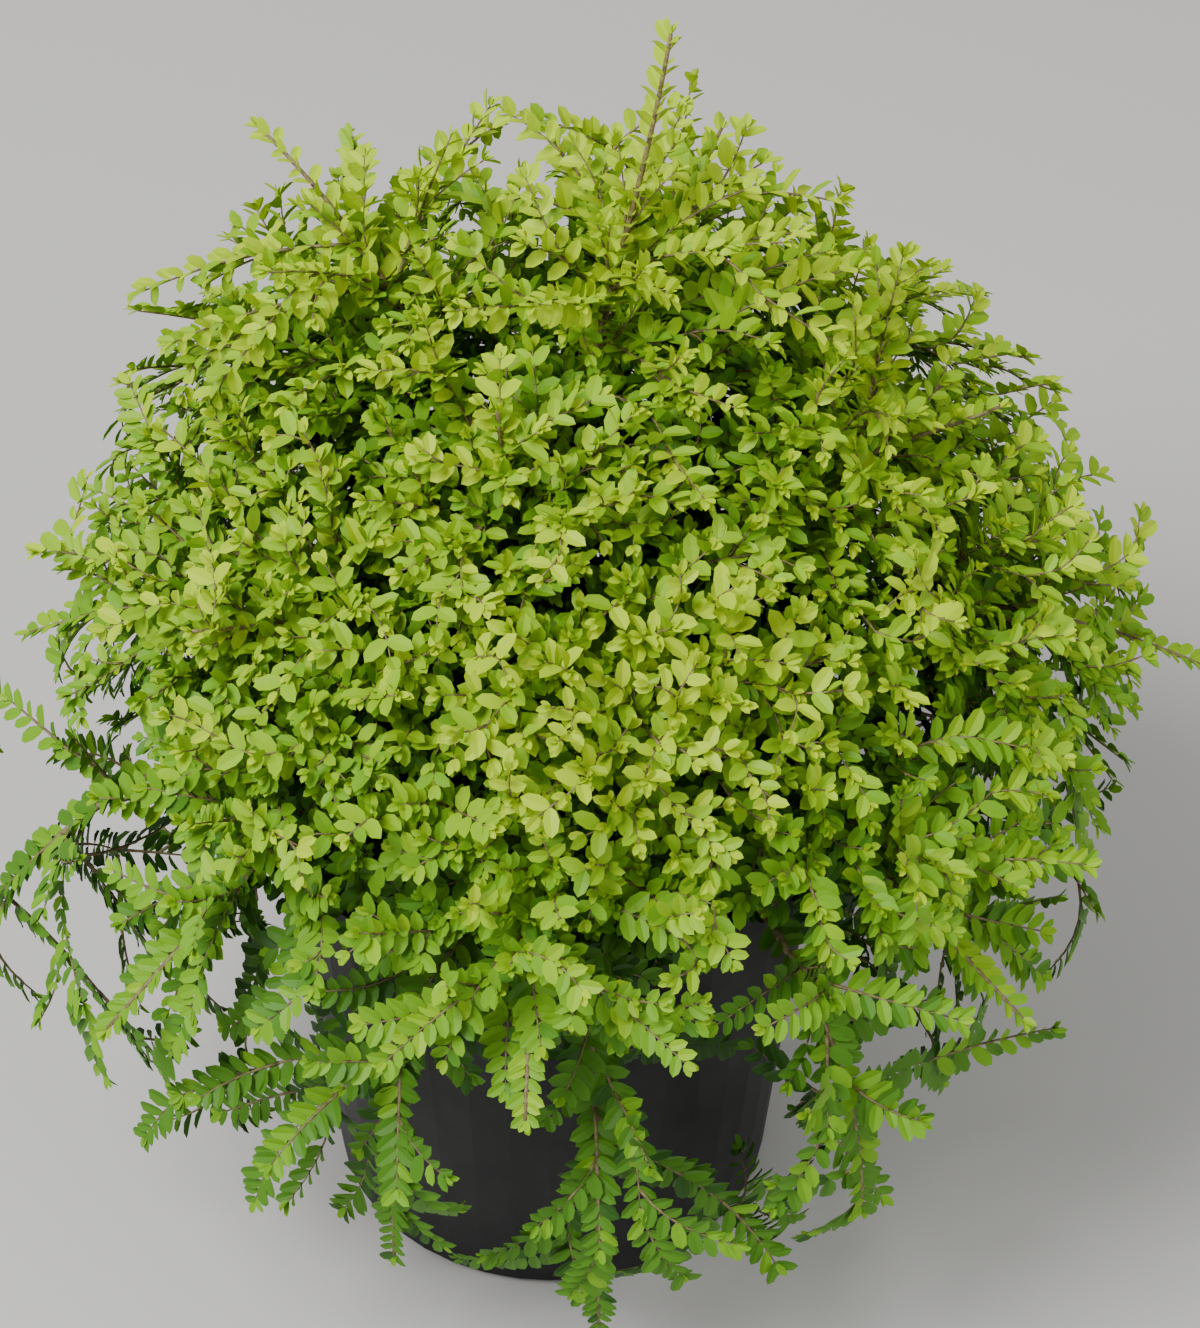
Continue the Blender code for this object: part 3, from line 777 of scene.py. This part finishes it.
def compost_surface():
    """Crumbly compost, closed below so that it also shows through the drain holes."""
    edge = wall_radius(POT_HEIGHT - COMPOST_BELOW_RIM) - POT_WALL - CLEAR
    foot_radius = POT_BASE_RADIUS - SOIL_FOOT_INSET
    turns = [math.tau * k / SOIL_SPOKES for k in range(SOIL_SPOKES)]
    points = [(0, 0, compost_height(0))]
    for i in range(1, SOIL_RINGS + 1):
        radius = edge * i / SOIL_RINGS
        standing = min(1, (SOIL_RINGS - i) / SOIL_FLAT_RINGS)
        for turn in turns:
            spot = Vector((radius * math.cos(turn), radius * math.sin(turn), 0))
            height = compost_height(radius) - SOIL_SUNK + crumb_height(spot) * standing
            points.append((spot.x, spot.y, height))
    points += [(foot_radius * math.cos(t), foot_radius * math.sin(t), SOIL_FOOT) for t in turns]
    points.append((0, 0, SOIL_FOOT))
    steps = [(k, (k + 1) % SOIL_SPOKES) for k in range(SOIL_SPOKES)]
    faces = [(0, 1 + k, 1 + after) for k, after in steps]
    for i in range(SOIL_RINGS):
        ring = 1 + i * SOIL_SPOKES
        below = ring + SOIL_SPOKES
        faces += [(ring + k, below + k, below + after, ring + after) for k, after in steps]
    last = 1 + SOIL_RINGS * SOIL_SPOKES
    faces += [(last + k, len(points) - 1, last + after) for k, after in steps]
    return points, faces


def node_material(name, colour, roughness, specular=0.5):
    material = bpy.data.materials.new(name)
    material.use_nodes = True
    shader = material.node_tree.nodes["Principled BSDF"]
    shader.inputs["Base Color"].default_value = (*colour, 1)
    shader.inputs["Roughness"].default_value = roughness
    shader.inputs["Specular IOR Level"].default_value = specular
    return material, material.node_tree, shader


def add_bump(tree, shader, scale, strength, distance, detail):
    """A fine grain in the surface; the grain's node is given back for its colours."""
    grain = tree.nodes.new("ShaderNodeTexNoise")
    grain.inputs["Scale"].default_value = scale
    grain.inputs["Detail"].default_value = detail
    where = tree.nodes.new("ShaderNodeTexCoord")
    tree.links.new(where.outputs["Object"], grain.inputs["Vector"])
    bump = tree.nodes.new("ShaderNodeBump")
    bump.inputs["Strength"].default_value = strength
    bump.inputs["Distance"].default_value = distance
    tree.links.new(grain.outputs["Fac"], bump.inputs["Height"])
    tree.links.new(bump.outputs["Normal"], shader.inputs["Normal"])
    return grain


def add_two_tone(tree, shader, grain, dark, pale):
    """Two tones of the base colour, dealt out by the grain."""
    ramp = tree.nodes.new("ShaderNodeValToRGB")
    ramp.color_ramp.elements[0].color = (*dark, 1)
    ramp.color_ramp.elements[0].position = DARK_AT
    ramp.color_ramp.elements[1].color = (*pale, 1)
    ramp.color_ramp.elements[1].position = PALE_AT
    tree.links.new(grain.outputs["Fac"], ramp.inputs["Fac"])
    tree.links.new(ramp.outputs["Color"], shader.inputs["Base Color"])


def leaf_material(name, colour):
    material, tree, shader = node_material(name, colour, roughness=0.52, specular=0.25)
    add_bump(tree, shader, scale=900.0, strength=0.25, distance=0.0004, detail=2.0)
    return material


def bark_material():
    material, tree, shader = node_material("bark", colour=(0.16, 0.10, 0.06), roughness=0.8)
    grain = add_bump(tree, shader, scale=420.0, strength=0.6, distance=0.0006, detail=4.0)
    add_two_tone(tree, shader, grain, dark=(0.075, 0.045, 0.030), pale=(0.26, 0.19, 0.13))
    return material


def twig_material():
    brown = (0.20, 0.15, 0.06)
    material, tree, shader = node_material("young_twig", brown, roughness=0.6)
    grain = add_bump(tree, shader, scale=500.0, strength=0.3, distance=0.0003, detail=4.0)
    add_two_tone(tree, shader, grain, dark=(0.15, 0.085, 0.045), pale=(0.27, 0.24, 0.09))
    return material


def compost_material():
    earth = (0.035, 0.022, 0.014)
    material, tree, shader = node_material("compost", earth, roughness=0.95)
    grain = add_bump(tree, shader, scale=520.0, strength=0.8, distance=0.0012, detail=6.0)
    add_two_tone(tree, shader, grain, dark=(0.012, 0.008, 0.006), pale=(0.070, 0.045, 0.028))
    return material


def pot_material():
    black = (0.012, 0.012, 0.013)
    material, tree, shader = node_material("pot_plastic", black, roughness=0.5, specular=0.3)
    grain = add_bump(tree, shader, scale=60.0, strength=0.15, distance=0.0006, detail=8.0)
    add_two_tone(tree, shader, grain, dark=(0.004, 0.004, 0.005), pale=black)
    return material


def floor():
    data = bpy.data.meshes.new("floor")
    half = FLOOR_HALF
    corners = [(-half, -half, 0), (half, -half, 0), (half, half, 0), (-half, half, 0)]
    data.from_pydata(corners, [], [(0, 1, 2, 3)])
    material, _, _ = node_material("floor", colour=(0.62, 0.61, 0.59), roughness=0.9)
    data.materials.append(material)
    made = bpy.data.objects.new("floor", data)
    bpy.context.scene.collection.objects.link(made)


def area_light(name, place, size, power):
    data = bpy.data.lights.new(name, "AREA")
    data.shape = "DISK"
    data.size = size
    data.energy = power
    made = bpy.data.objects.new(name, data)
    made.location = place
    aim = LIGHTS_AIM - Vector(place)
    made.rotation_mode = "QUATERNION"
    made.rotation_quaternion = aim.to_track_quat("-Z", "Y")
    bpy.context.scene.collection.objects.link(made)


def lights():
    """Soft white light from all round, and two large lights, one on each side in front."""
    world = bpy.data.worlds.new("studio")
    bpy.context.scene.world = world
    world.use_nodes = True
    sky = world.node_tree.nodes["Background"]
    sky.inputs["Color"].default_value = (1.0, 1.0, 1.0, 1)
    sky.inputs["Strength"].default_value = SKY_STRENGTH
    area_light("key", place=(-1.2, -0.9, 2.4), size=1.4, power=84.0)
    area_light("fill", place=(1.8, -1.2, 1.6), size=2.0, power=14.0)


def camera():
    """At the photograph's viewing angle, looking down onto the crown."""
    data = bpy.data.cameras.new("camera")
    data.sensor_width = SENSOR_WIDTH
    data.lens = FOCAL_PIXELS / IMAGE_HEIGHT * SENSOR_WIDTH
    data.clip_start = 0.05
    data.clip_end = 50.0
    made = bpy.data.objects.new("camera", data)
    made.location = CAMERA_PLACE
    made.rotation_euler = (math.pi / 2 - CAMERA_PITCH, 0, 0)
    bpy.context.scene.collection.objects.link(made)
    bpy.context.scene.camera = made


def dress_crown(runs):
    """The leaves and twigs of all masses, in place of the foliage solids."""
    foliage = ["foliage_" + run.name for run in runs]
    ends = []
    masses = [grow(run, runs, ends) for run in runs]
    for paint, leaves in zip(LEAF_PAINTS, deal_leaves(masses)):
        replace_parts(leaf_piece(paint, leaves), *foliage)
    shoots = [shoot for mass in masses for shoot in mass.shoots]
    twigs = [tube(s.path, s.radii, TWIG_SIDES, TWIG_RELIEF) for s in shoots if not s.fine]
    fine_twigs = [tube(s.path, s.radii, FINE_TWIG_SIDES) for s in shoots if s.fine]
    young = twig_material()
    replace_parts(joined_tubes("twigs", twigs, young), *foliage)
    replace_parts(joined_tubes("fine_twigs", fine_twigs, young), *foliage)


def dress_limbs(runs):
    """The main stem and the boughs, in place of their solids."""
    boughs = ["bough_" + run.name for run in runs]
    limbs = joined_tubes("stem_and_boughs", bark_tubes(runs), bark_material())
    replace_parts(limbs, "main_stem", *boughs)


def dress_compost():
    points, faces = compost_surface()
    soil = new_piece("compost_crumbs", points, faces, compost_material(), smooth=True)
    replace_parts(soil, "compost")


def dress_pot():
    """The pot keeps its solid and gets its plastic."""
    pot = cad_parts["pot"]
    pot.data.materials.clear()
    pot.data.materials.append(pot_material())


def main():
    camera()
    lights()
    floor()
    runs = plan_runs()
    dress_crown(runs)
    dress_limbs(runs)
    dress_compost()
    dress_pot()


main()
